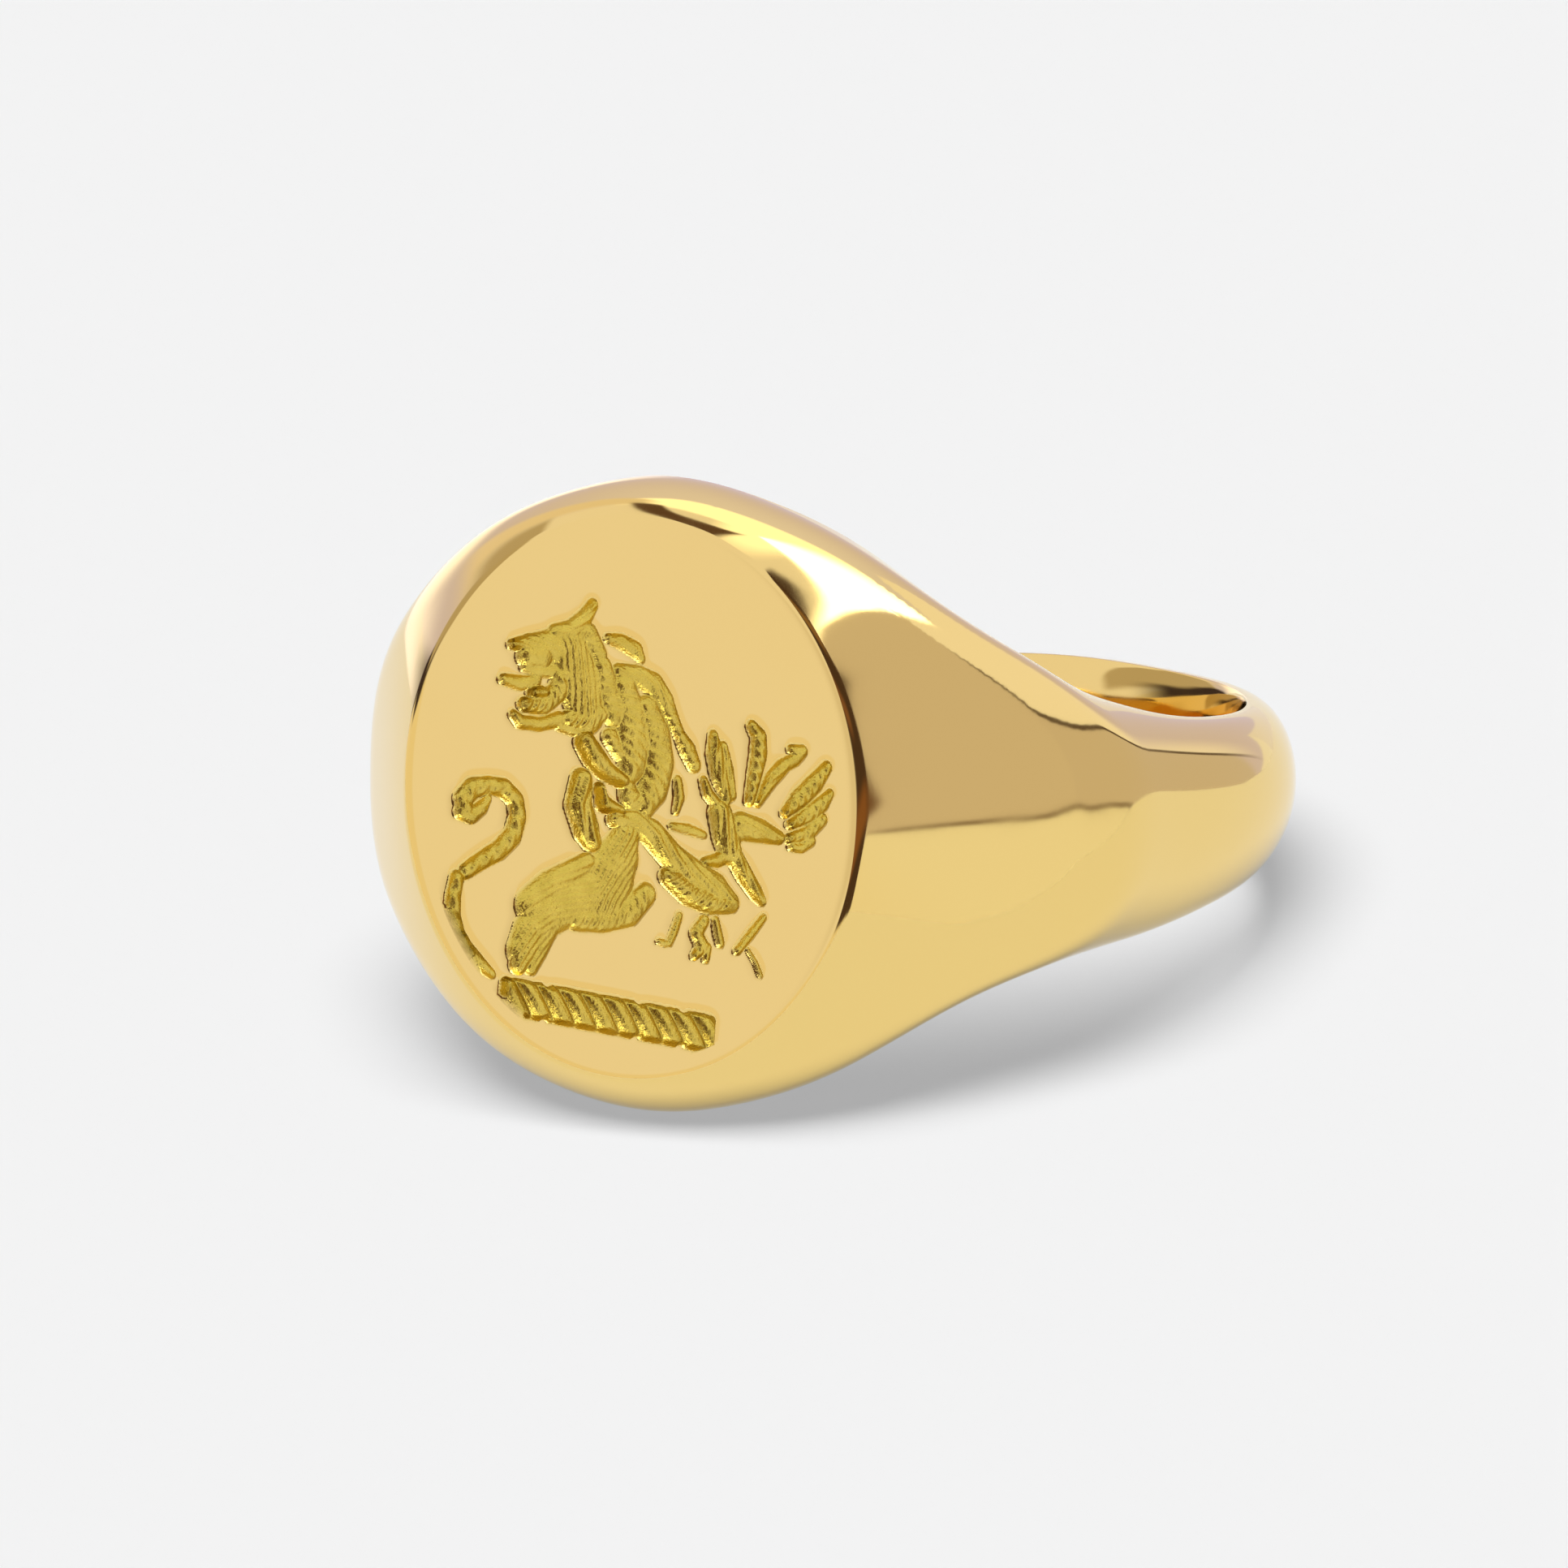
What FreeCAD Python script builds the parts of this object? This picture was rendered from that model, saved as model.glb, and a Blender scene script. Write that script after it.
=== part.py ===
import FreeCAD, Part
import os
import math
import Sketcher
from FreeCAD import Vector, Rotation, Placement

# Signet ring with an oval seal face, lying on its side as a ring does on a table.
# Ring frame before placing: the finger bore runs along Z, the seal face looks to -Y.
# Angles are counted around the bore from the middle of the seal face.

doc = FreeCAD.newDocument("signet_ring")

# ---------------------------------------------------------------- dimensions
sheet = doc.addObject("Spreadsheet::Sheet", "Dimensions")
ROWS = [
    # finger hole
    ("finger_radius", 8.65),
    ("inner_flank", 8.15),        # the sections start inside the hole, which the bore then opens
    # oval seal face
    ("face_distance", 10.30),     # bore axis to seal face
    ("face_half_width", 6.10),    # around the finger
    ("face_half_height", 6.50),   # along the finger
    ("flare_width", 0.80),        # how fast the head widens below the face, per mm
    ("flare_height", 1.05),
    ("envelope_depth", 17.0),
    ("face_edge_round", 0.22),
    ("shoulder_edge_round", 0.90),
    # seam planes of the rear half-shank
    ("seam_angle", 126.0),
    ("seam_far_angle", 126.8),
    # engraving
    ("seal_depth", 0.30),
    # rest on a table
    ("rest_tilt", 18.44),
]
# around the ring: (angle, name, crown radius, half width, flank end, corner radius)
SECTIONS = [
    (0.0, "000", 13.550, 7.310, 11.60, 1.60),
    (15.0, "015", 13.555, 6.910, 11.60, 1.60),
    (30.0, "030", 13.480, 5.900, 11.40, 1.60),
    (45.0, "045", 13.000, 4.420, 10.70, 1.60),
    (60.0, "060", 12.026, 3.500, 9.90, 1.50),
    (75.0, "075", 10.986, 3.040, 9.35, 1.20),
    (90.0, "090", 10.320, 2.680, 9.10, 0.95),
    (108.0, "108", 10.125, 2.230, 9.00, 0.85),
    (126.0, "126", 10.163, 1.822, 9.00, 0.85),
    (126.8, "127", 10.166, 1.806, 9.00, 0.85),
    (144.0, "144", 10.240, 1.520, 9.00, 0.85),
    (162.0, "162", 10.305, 1.385, 9.00, 0.85),
    (180.0, "180", 10.330, 1.360, 9.00, 0.85),
]
for ang, key, crown, half, flank, corner in SECTIONS:
    ROWS.append(("crown_" + key, crown))
    ROWS.append(("halfwidth_" + key, half))
    ROWS.append(("flank_" + key, flank))
    ROWS.append(("corner_" + key, corner))
VALUE = {}
for i, (alias, value) in enumerate(ROWS):
    row = i + 1
    sheet.set("A%d" % row, alias)
    sheet.set("B%d" % row, repr(float(value)))
    sheet.setAlias("B%d" % row, alias)
    VALUE[alias] = float(value)
doc.recompute()


def plane_of(body, role):
    for feature in body.Origin.OriginFeatures:
        if feature.Role == role:
            return feature
    raise RuntimeError("no plane " + role)


def new_body(name):
    body = doc.addObject("PartDesign::Body", name)
    body.Label = name
    return body


def section(body, name, key, angle, angle_expr=None):
    """One D-shaped cross section of the hoop on a plane through the bore axis."""
    sk = body.newObject("Sketcher::SketchObject", name)
    sk.AttachmentSupport = [(plane_of(body, "XZ_Plane"), "")]
    sk.MapMode = "FlatFace"
    sk.AttachmentOffset = Placement(Vector(0, 0, 0), Rotation(Vector(0, 1, 0), angle - 90.0))
    if angle_expr:
        sk.setExpression("AttachmentOffset.Rotation.Angle", angle_expr)
    ri = VALUE["inner_flank"]
    rs = VALUE["flank_" + key]
    rc = VALUE["crown_" + key]
    w = VALUE["halfwidth_" + key]
    rho = VALUE["corner_" + key]
    # the crown arc runs tangent into both corner arcs
    e = rc - rho
    xc = (e * e - rs * rs - (w - rho) ** 2) / (2.0 * (e - rs))
    a = math.atan2(w - rho, rs - xc)
    up = Vector(0, 0, 1)
    sk.addGeometry(Part.LineSegment(Vector(ri, -w, 0), Vector(ri, w, 0)))
    sk.addGeometry(Part.LineSegment(Vector(ri, w, 0), Vector(rs, w, 0)))
    sk.addGeometry(Part.ArcOfCircle(Part.Circle(Vector(rs, w - rho, 0), up, rho), a, math.pi / 2))
    sk.addGeometry(Part.ArcOfCircle(Part.Circle(Vector(xc, 0, 0), up, rc - xc), -a, a))
    sk.addGeometry(Part.ArcOfCircle(Part.Circle(Vector(rs, rho - w, 0), up, rho), -math.pi / 2, -a))
    sk.addGeometry(Part.LineSegment(Vector(rs, -w, 0), Vector(ri, -w, 0)))
    sk.addGeometry(Part.Point(Vector(rc, 0, 0)), True)
    C = Sketcher.Constraint
    for constraint in [
        C("Coincident", 0, 2, 1, 1), C("Tangent", 1, 2, 2, 2), C("Tangent", 2, 1, 3, 2),
        C("Tangent", 3, 1, 4, 2), C("Tangent", 4, 1, 5, 1), C("Coincident", 5, 2, 0, 1),
        C("Horizontal", 1), C("Symmetric", 0, 1, 0, 2, -1), C("PointOnObject", 3, 3, -1),
        C("Equal", 2, 4), C("PointOnObject", 6, 1, 3), C("PointOnObject", 6, 1, -1),
    ]:
        sk.addConstraint(constraint)
    named = [
        ("inner", C("DistanceX", -1, 1, 0, 1, ri), "Dimensions.inner_flank"),
        ("width", C("DistanceY", 0, 1, 0, 2, 2 * w), "2 * Dimensions.halfwidth_" + key),
        ("flank", C("DistanceX", -1, 1, 1, 2, rs), "Dimensions.flank_" + key),
        ("crown", C("DistanceX", -1, 1, 6, 1, rc), "Dimensions.crown_" + key),
        ("corner", C("Radius", 2, rho), "Dimensions.corner_" + key),
    ]
    for label, constraint, expr in named:
        index = sk.addConstraint(constraint)
        sk.renameConstraint(index, label)
        sk.setExpression("Constraints." + label, expr)
    return sk


def loft(body, name, sketches):
    feature = body.newObject("PartDesign::AdditiveLoft", name)
    feature.Profile = sketches[0]
    feature.Sections = sketches[1:]
    feature.Ruled = False
    feature.Closed = False
    doc.recompute()
    return feature


def circle_sketch(body, name, role, radius_alias):
    sk = body.newObject("Sketcher::SketchObject", name)
    sk.AttachmentSupport = [(plane_of(body, role), "")]
    sk.MapMode = "FlatFace"
    sk.addGeometry(Part.Circle(Vector(0, 0, 0), Vector(0, 0, 1), VALUE[radius_alias]))
    sk.addConstraint(Sketcher.Constraint("Coincident", 0, 3, -1, 1))
    index = sk.addConstraint(Sketcher.Constraint("Radius", 0, VALUE[radius_alias]))
    sk.renameConstraint(index, "radius")
    sk.setExpression("Constraints.radius", "Dimensions." + radius_alias)
    return sk


def cut_check(body, before, what):
    doc.recompute()
    after = body.Shape.Volume
    if not after < before - 1e-4:
        raise RuntimeError("%s cut nothing: %.4f -> %.4f" % (what, before, after))
    print("%-26s %9.3f -> %9.3f mm3, valid %s" % (what, before, after, body.Shape.isValid()))
    return after


def bore(body):
    """The round finger hole, cut right through along the bore axis."""
    before = body.Shape.Volume
    sk = circle_sketch(body, body.Name + "_bore_circle", "XY_Plane", "finger_radius")
    pocket = body.newObject("PartDesign::Pocket", body.Name + "_bore")
    pocket.Profile = sk
    pocket.Type = 0
    pocket.Midplane = True
    pocket.Length = 40.0
    cut_check(body, before, body.Name + " bore")


def oval(body, name, y, half_width_expr, half_height_expr, half_width, half_height):
    """An oval across the ring's front, on a plane parallel to the seal face."""
    sk = body.newObject("Sketcher::SketchObject", name)
    sk.AttachmentSupport = [(plane_of(body, "XZ_Plane"), "")]
    sk.MapMode = "FlatFace"
    # local z of this plane points to -Y
    sk.AttachmentOffset = Placement(Vector(0, 0, -y), Rotation())
    big_is_height = half_height >= half_width
    if big_is_height:
        ellipse = Part.Ellipse(Vector(0, half_height, 0), Vector(half_width, 0, 0), Vector(0, 0, 0))
    else:
        ellipse = Part.Ellipse(Vector(half_width, 0, 0), Vector(0, half_height, 0), Vector(0, 0, 0))
    sk.addGeometry(ellipse)
    sk.exposeInternalGeometry(0)
    C = Sketcher.Constraint
    sk.addConstraint(C("Coincident", 0, 3, -1, 1))
    major, minor = sk.Geometry[1], sk.Geometry[2]
    if big_is_height:
        sk.addConstraint(C("Vertical", 1))
        items = [("height", "DistanceY", 1, major, "y", half_height_expr, half_height),
                 ("width", "DistanceX", 2, minor, "x", half_width_expr, half_width)]
    else:
        sk.addConstraint(C("Horizontal", 1))
        items = [("width", "DistanceX", 1, major, "x", half_width_expr, half_width),
                 ("height", "DistanceY", 2, minor, "y", half_height_expr, half_height)]
    for label, kind, index, line, axis, expr, value in items:
        end = 1 if getattr(line.StartPoint, axis) > getattr(line.EndPoint, axis) else 2
        c = sk.addConstraint(C(kind, -1, 1, index, end, value))
        sk.renameConstraint(c, label)
        sk.setExpression("Constraints." + label, expr)
    return sk


# ---------------------------------------------------------------- head and shoulders
head = new_body("head_and_shoulders")
head_sections = []
keys = [(row[0], row[1]) for row in SECTIONS if row[0] <= 126.0]
order = [(-a, k) for a, k in reversed(keys) if a > 0] + keys
for a, k in order:
    side = "l" if a < 0 else "r"
    expr = None
    if k == "126":
        expr = ("-Dimensions.seam_angle - 90" if a < 0 else "Dimensions.seam_angle - 90")
    head_sections.append(section(head, "head_section_%s%s" % (side, k), k, a, expr))
doc.recompute()
loft(head, "head_hoop", head_sections)
print("hoop", head.Shape.Volume, head.Shape.isValid())

# the envelope that gives the head its oval face and its flaring sides
envelope = new_body("head_envelope")
d = VALUE["envelope_depth"]
near = oval(envelope, "face_oval", -VALUE["face_distance"],
            "Dimensions.face_half_width", "Dimensions.face_half_height",
            VALUE["face_half_width"], VALUE["face_half_height"])
near.setExpression("AttachmentOffset.Base.z", "Dimensions.face_distance")
far = oval(envelope, "deep_oval", -VALUE["face_distance"] + d,
           "Dimensions.face_half_width + Dimensions.flare_width * Dimensions.envelope_depth",
           "Dimensions.face_half_height + Dimensions.flare_height * Dimensions.envelope_depth",
           VALUE["face_half_width"] + VALUE["flare_width"] * d,
           VALUE["face_half_height"] + VALUE["flare_height"] * d)
far.setExpression("AttachmentOffset.Base.z", "Dimensions.face_distance - Dimensions.envelope_depth")
cone = envelope.newObject("PartDesign::AdditiveLoft", "envelope_loft")
cone.Profile = near
cone.Sections = [far]
cone.Ruled = True
doc.recompute()
print("envelope", envelope.Shape.Volume, envelope.Shape.isValid(), envelope.Shape.BoundBox)

before = head.Shape.Volume
common = head.newObject("PartDesign::Boolean", "head_trim")
common.Type = "Common"
common.addObjects([envelope])
head.Tip = common
cut_check(head, before, "head trim")

# soft edge where the flaring sides of the head run into the hoop, and round the seal face
def head_edges(shape):
    """(edges of the envelope's side against the hoop, edges round the seal face), as names."""
    table = None
    for face in shape.Faces:
        if face.Surface.TypeId == "Part::GeomPlane" and abs(face.CenterOfMass.y + VALUE["face_distance"]) < 0.01:
            table = face
    round_face = [e.hashCode() for e in table.Edges]
    side = None
    for face in shape.Faces:
        if face.hashCode() != table.hashCode() and any(e.hashCode() in round_face for e in face.Edges):
            side = face
    count = {}
    for e in side.Edges:
        count[e.hashCode()] = count.get(e.hashCode(), 0) + 1
    rim, face_edges = [], []
    for i, edge in enumerate(shape.Edges):
        code = edge.hashCode()
        if code in round_face:
            face_edges.append("Edge%d" % (i + 1))
        elif code in count:
            owners = sum(1 for f in shape.Faces if any(x.hashCode() == code for x in f.Edges))
            if owners == 2:
                rim.append("Edge%d" % (i + 1))
    return rim, face_edges


def fillet(body, name, names, alias):
    base = body.Tip
    before = body.Shape.Volume
    feature = body.newObject("PartDesign::Fillet", name)
    feature.Base = (base, names)
    feature.Radius = VALUE[alias]
    feature.setExpression("Radius", "Dimensions." + alias)
    cut_check(body, before, name)


fillet(head, "shoulder_edge", head_edges(head.Shape)[0], "shoulder_edge_round")
fillet(head, "face_edge", head_edges(head.Shape)[1], "face_edge_round")

# ---------------------------------------------------------------- engraved seal, cut into the face
def band(points, width):
    """A closed outline round a bent centre line."""
    left, right = [], []
    n = len(points)
    for i, (x, z) in enumerate(points):
        x0, z0 = points[max(i - 1, 0)]
        x1, z1 = points[min(i + 1, n - 1)]
        length = math.hypot(x1 - x0, z1 - z0)
        nx, nz = -(z1 - z0) / length, (x1 - x0) / length
        w = width * (0.5 if 0 < i < n - 1 else 0.35)
        left.append((x + nx * w, z + nz * w))
        right.append((x - nx * w, z - nz * w))
    return left + right[::-1]


BEAST = [(-3.20, 2.75), (-2.80, 3.45), (-2.00, 3.60), (-1.40, 4.10), (-1.10, 3.50), (-0.30, 3.35), (0.70, 2.80),
         (1.35, 1.95), (1.60, 1.10), (1.25, 0.15), (0.80, -0.65), (1.50, -1.05), (2.45, -1.45), (2.80, -2.15),
         (1.90, -2.25), (1.05, -1.85), (0.50, -2.20), (-0.50, -2.75), (-1.85, -3.25), (-2.50, -3.80),
         (-3.20, -3.60), (-3.15, -2.90), (-2.35, -2.20), (-1.55, -1.55), (-1.00, -0.90), (-1.60, -0.45),
         (-1.90, 0.25), (-1.40, 0.85), (-1.00, 0.45), (-0.90, 1.05), (-1.50, 1.40), (-2.30, 1.25), (-2.85, 1.60),
         (-2.50, 2.00), (-3.15, 2.20)]
TAIL = band([(-3.60, -3.75), (-4.25, -3.15), (-4.50, -2.50), (-4.20, -1.85), (-3.50, -1.35), (-3.05, -0.70),
             (-3.15, -0.05), (-3.75, 0.10), (-4.15, -0.35)], 0.40)
SPRIG = [(1.95, -0.35), (2.50, 0.25), (2.60, 1.05), (3.10, 1.75), (3.35, 1.05), (3.25, 0.45), (3.95, 0.95),
         (4.80, 1.15), (4.45, 0.40), (3.75, 0.00), (4.40, -0.50), (4.55, -1.10), (3.80, -0.95), (3.20, -0.45),
         (3.25, -1.15), (2.90, -1.55), (2.65, -1.00), (2.60, -0.50)]
WREATH = band([(-3.55, -4.40), (-2.05, -4.65), (-0.55, -4.90), (0.95, -5.15), (2.30, -5.38)], 0.66)


def crossings(outlines):
    """No outline may cross itself or another one, or come nearer than the rim to the edge of the face."""
    segments = []
    for k, outline in enumerate(outlines):
        n = len(outline)
        segments += [(k, i, n, outline[i], outline[(i + 1) % n]) for i in range(n)]
        for x, z in outline:
            if (x / (VALUE["face_half_width"] - 0.3)) ** 2 + (z / (VALUE["face_half_height"] - 0.3)) ** 2 > 1.0:
                raise RuntimeError("the engraving leaves the face at %.2f, %.2f" % (x, z))

    def turn(p, q, r):
        return (q[0] - p[0]) * (r[1] - p[1]) - (q[1] - p[1]) * (r[0] - p[0])

    for a in range(len(segments)):
        for b in range(a + 1, len(segments)):
            ka, ia, na, p, q = segments[a]
            kb, ib, nb, r, t = segments[b]
            if ka == kb and (abs(ia - ib) == 1 or abs(ia - ib) == na - 1):
                continue
            if turn(p, q, r) * turn(p, q, t) < 0 and turn(r, t, p) * turn(r, t, q) < 0:
                raise RuntimeError("outlines cross near %.2f, %.2f" % p)


crossings([BEAST, TAIL, SPRIG, WREATH])
crest = head.newObject("Sketcher::SketchObject", "seal_outline")
crest.AttachmentSupport = [(plane_of(head, "XZ_Plane"), "")]
crest.MapMode = "FlatFace"
crest.AttachmentOffset = Placement(Vector(0, 0, VALUE["face_distance"]), Rotation())
crest.setExpression("AttachmentOffset.Base.z", "Dimensions.face_distance")
for outline in (BEAST, TAIL, SPRIG, WREATH):
    first = crest.GeometryCount
    n = len(outline)
    for i in range(n):
        x0, z0 = outline[i]
        x1, z1 = outline[(i + 1) % n]
        crest.addGeometry(Part.LineSegment(Vector(x0, z0, 0), Vector(x1, z1, 0)))
    for i in range(n):
        crest.addConstraint(Sketcher.Constraint("Coincident", first + i, 2, first + (i + 1) % n, 1))
before = head.Shape.Volume
seal = head.newObject("PartDesign::Pocket", "seal_cut")
seal.Profile = crest
seal.Type = 0
seal.Length = VALUE["seal_depth"]
seal.setExpression("Length", "Dimensions.seal_depth")
doc.recompute()
if not head.Shape.Volume < before - 1.0:
    seal.Reversed = True
cut_check(head, before, "seal cut")
bore(head)

# ---------------------------------------------------------------- rear half-shank
rear = new_body("rear_shank")
rear_sections = []
for a, k in [(126.8, "127"), (144.0, "144"), (162.0, "162"), (180.0, "180"), (198.0, "162"), (216.0, "144"),
             (233.2, "127")]:
    expr = None
    if k == "127":
        expr = "Dimensions.seam_far_angle - 90" if a < 180 else "270 - Dimensions.seam_far_angle"
    rear_sections.append(section(rear, "rear_section_%03d" % round(a), k, a, expr))
doc.recompute()
loft(rear, "rear_hoop", rear_sections)
bore(rear)

# ---------------------------------------------------------------- solder seams between the two
seams = new_body("solder_seams")
seams.AllowCompound = True
for side, sign in (("right", 1.0), ("left", -1.0)):
    if sign > 0:
        near_expr, far_expr = "Dimensions.seam_angle - 90", "Dimensions.seam_far_angle - 90"
    else:
        near_expr, far_expr = "-Dimensions.seam_angle - 90", "-Dimensions.seam_far_angle - 90"
    pair = [section(seams, "seam_%s_near" % side, "126", sign * 126.0, near_expr),
            section(seams, "seam_%s_far" % side, "127", sign * 126.8, far_expr)]
    doc.recompute()
    loft(seams, "seam_fill_" + side, pair)
bore(seams)
print("seams", seams.Shape.Volume, len(seams.Shape.Solids), seams.Shape.isValid())

# ---------------------------------------------------------------- how the ring lies
# The head is deeper than the back of the shank, so the ring on its side leans back
# until the head's lower rim and the shank's lower edge both touch the table.
parts = [head, rear, seams]
for body in parts:
    body.setExpression("Placement.Rotation.Axis.x", "1")
    body.setExpression("Placement.Rotation.Axis.y", "0")
    body.setExpression("Placement.Rotation.Axis.z", "0")
    body.setExpression("Placement.Rotation.Angle", "-Dimensions.rest_tilt")
doc.recompute()

# ---------------------------------------------------------------- checks and output
for obj in doc.Objects:
    if "Invalid" in obj.State or "Error" in obj.State:
        raise RuntimeError("%s is %s" % (obj.Label, obj.State))
os.makedirs("parts", exist_ok=True)
for body in parts:
    shape = body.Shape
    if shape.isNull() or not shape.isValid():
        raise RuntimeError(body.Label + " has no valid shape")
    box = shape.BoundBox
    print("%-18s solids %d volume %9.3f mm3 box %s..%s" % (
        body.Label, len(shape.Solids), shape.Volume,
        [round(v, 3) for v in (box.XMin, box.YMin, box.ZMin)], [round(v, 3) for v in (box.XMax, box.YMax, box.ZMax)]))
    shape.exportStep("parts/" + body.Label + ".step")
for i in range(len(parts)):
    for j in range(i + 1, len(parts)):
        print("overlap", parts[i].Label, parts[j].Label, round(parts[i].Shape.common(parts[j].Shape).Volume, 7))
low = {}
for body in parts:
    v, f = body.Shape.tessellate(0.01)
    low[body.Label] = sorted((round(p.z, 4), round(p.y, 3), round(p.x, 3)) for p in v)[:3]
print("lowest points", low)
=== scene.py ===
import math
import bpy
import numpy as np
from mathutils import Matrix, Vector


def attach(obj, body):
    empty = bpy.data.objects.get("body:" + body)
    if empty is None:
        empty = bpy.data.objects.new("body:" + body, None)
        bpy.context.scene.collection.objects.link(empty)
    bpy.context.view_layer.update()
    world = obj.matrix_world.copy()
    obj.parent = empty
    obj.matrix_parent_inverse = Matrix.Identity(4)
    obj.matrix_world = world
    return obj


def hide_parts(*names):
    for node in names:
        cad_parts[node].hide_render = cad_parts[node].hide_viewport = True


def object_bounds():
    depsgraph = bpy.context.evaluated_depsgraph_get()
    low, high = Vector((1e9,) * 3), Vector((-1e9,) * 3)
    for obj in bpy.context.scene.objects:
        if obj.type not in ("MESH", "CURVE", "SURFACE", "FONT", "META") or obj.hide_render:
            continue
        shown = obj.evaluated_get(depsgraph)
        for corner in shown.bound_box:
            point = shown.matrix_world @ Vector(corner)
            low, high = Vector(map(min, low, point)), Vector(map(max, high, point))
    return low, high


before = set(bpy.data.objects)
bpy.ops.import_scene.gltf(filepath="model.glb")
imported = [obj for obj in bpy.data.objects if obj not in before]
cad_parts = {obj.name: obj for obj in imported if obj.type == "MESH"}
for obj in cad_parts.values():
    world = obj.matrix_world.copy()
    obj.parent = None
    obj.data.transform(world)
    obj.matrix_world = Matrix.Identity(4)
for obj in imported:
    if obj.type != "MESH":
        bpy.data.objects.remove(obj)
cad_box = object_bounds()
MM = 0.001

# ---------------------------------------------------------------- the ring's own shape, in mm
# Ring frame: finger hole along Z, seal face at y = -D. Angles run round the hole from the face's middle.
RI, RC, D = 8.65, 0.22, 10.30            # hole radius, inner edge round, hole axis to face
A0, B0 = 6.10, 6.50                      # half width and half height of the oval face
AL, BE = 0.78, 1.13                      # how the head flares below the face, far from it
AC, BC, TD = 0.58, 0.58, 2.2             # extra belly of the flare close under the face
KC, KT = 1.45, 0.24                      # softness of shoulder edge and face edge
TAU = math.radians(18.44)                # how far the ring leans back on the table
LIFT = 0.064                             # sets the ring's lowest edge on the table
SEAM_A, SEAM_B = math.radians(126.0), math.radians(126.8)


def even_spline(deg, vals):
    """Cubic spline over an angle, level at both ends."""
    x = np.radians(np.array(deg, float)); y = np.array(vals, float); n = len(x); h = np.diff(x)
    M = np.zeros((n, n)); r = np.zeros(n)
    M[0, 0] = 2 * h[0]; M[0, 1] = h[0]; r[0] = 6 * (y[1] - y[0]) / h[0]
    M[-1, -1] = 2 * h[-1]; M[-1, -2] = h[-1]; r[-1] = -6 * (y[-1] - y[-2]) / h[-1]
    for i in range(1, n - 1):
        M[i, i - 1] = h[i - 1]; M[i, i] = 2 * (h[i - 1] + h[i]); M[i, i + 1] = h[i]
        r[i] = 6 * ((y[i + 1] - y[i]) / h[i] - (y[i] - y[i - 1]) / h[i - 1])
    m = np.linalg.solve(M, r)

    def f(t):
        t = np.abs((np.asarray(t, float) + math.pi) % (2 * math.pi) - math.pi)
        i = np.clip(np.searchsorted(x, t) - 1, 0, n - 2)
        a = (x[i + 1] - t) / h[i]; b = (t - x[i]) / h[i]
        return a * y[i] + b * y[i + 1] + ((a ** 3 - a) * m[i] + (b ** 3 - b) * m[i + 1]) * h[i] ** 2 / 6
    return f


crown = even_spline([0, 45, 68, 90, 112, 135, 180], [13.55, 13.47, 11.06, 10.10, 10.04, 10.07, 10.34])
upper_width = even_spline([0, 15, 30, 45, 54, 61, 69, 80, 98, 120, 144, 160, 180],
                          [7.35, 6.96, 5.95, 4.33, 3.46, 2.84, 2.42, 2.05, 1.82, 1.86, 2.02, 2.10, 2.20])
lower_width = even_spline([0, 15, 30, 45, 60, 75, 90, 110, 135, 180],
                          [7.29, 6.94, 5.95, 4.385, 3.485, 3.06, 2.63, 2.11, 1.42, 1.40])
square = even_spline([0, 90, 180], [3.5, 2.05, 2.4])
RB = RI + RC


def smin(a, b, k):
    h = np.maximum(k - np.abs(a - b), 0.0) / k
    return np.minimum(a, b) - h * h * h * k / 6.0


def reach(th, ph):
    """Distance from the section's inner point (RB, 0) to the outside, in direction ph of section th."""
    T = crown(th) - RB; n = square(th)
    c = np.cos(ph); sn = np.sin(ph)
    up = 0.5 + 0.5 * np.sin(math.pi / 2 * sn)
    w = upper_width(th) * up + lower_width(th) * (1 - up); c = np.where(np.abs(c) < 1e-9, 1e-9, c)
    hoop = (np.abs(c / T) ** n + np.abs(sn / w) ** n) ** (-1.0 / n)
    ct, st = np.cos(th), np.sin(th)
    q = hoop.copy(); f = np.ones_like(q); df = f
    for _ in range(14):
        r = RB + q * c; x = r * st; y = r * ct; z = q * sn; d = D - y
        ex = np.exp(-np.clip(d, -3, 60) / TD)
        A = np.maximum(A0 + AL * d + AC * (1 - ex), 0.3); B = np.maximum(B0 + BE * d + BC * (1 - ex), 0.3)
        g = np.sqrt((x / A) ** 2 + (z / B) ** 2); f = g - 1
        dA, dB = -c * ct * (AL + AC * ex / TD), -c * ct * (BE + BC * ex / TD)
        df = ((x / A) * (c * st / A - x * dA / A ** 2) + (z / B) * (sn / B - z * dB / B ** 2)) / np.maximum(g, 1e-9)
        df = np.where(np.abs(df) < 0.02, 0.02, df)
        q = np.clip(q - np.clip(f / df, -1, 1), 0.02, 60)
    cone = np.where((np.abs(f) < 1e-3) & (df > 0), q, 1e3)
    face = np.where(ct > 0.2, (D / np.maximum(ct, 0.2) - RB) / np.maximum(c, 1e-6), 1e3)
    return smin(smin(hoop, cone, KC), np.clip(face, 0, 1e3), KT)


def outer(th, ph):
    q = reach(th, ph); r = RB + q * np.cos(ph)
    return np.stack([r * np.sin(th), -r * np.cos(th), q * np.sin(ph)], -1)


def outer_normal(th, ph, e=2e-4):
    a = outer(th + e, ph) - outer(th - e, ph)
    b = outer(th, np.minimum(ph + e, math.pi / 2)) - outer(th, np.maximum(ph - e, -math.pi / 2))
    n = np.cross(a, b)
    return n / np.maximum(np.linalg.norm(n, axis=-1, keepdims=True), 1e-12)


def lie_down(v):
    """From the ring frame to the row frame: the ring leans back on the table."""
    c, s = math.cos(TAU), math.sin(TAU)
    return np.stack([v[..., 0], v[..., 1] * c + v[..., 2] * s, -v[..., 1] * s + v[..., 2] * c], -1)


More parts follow.
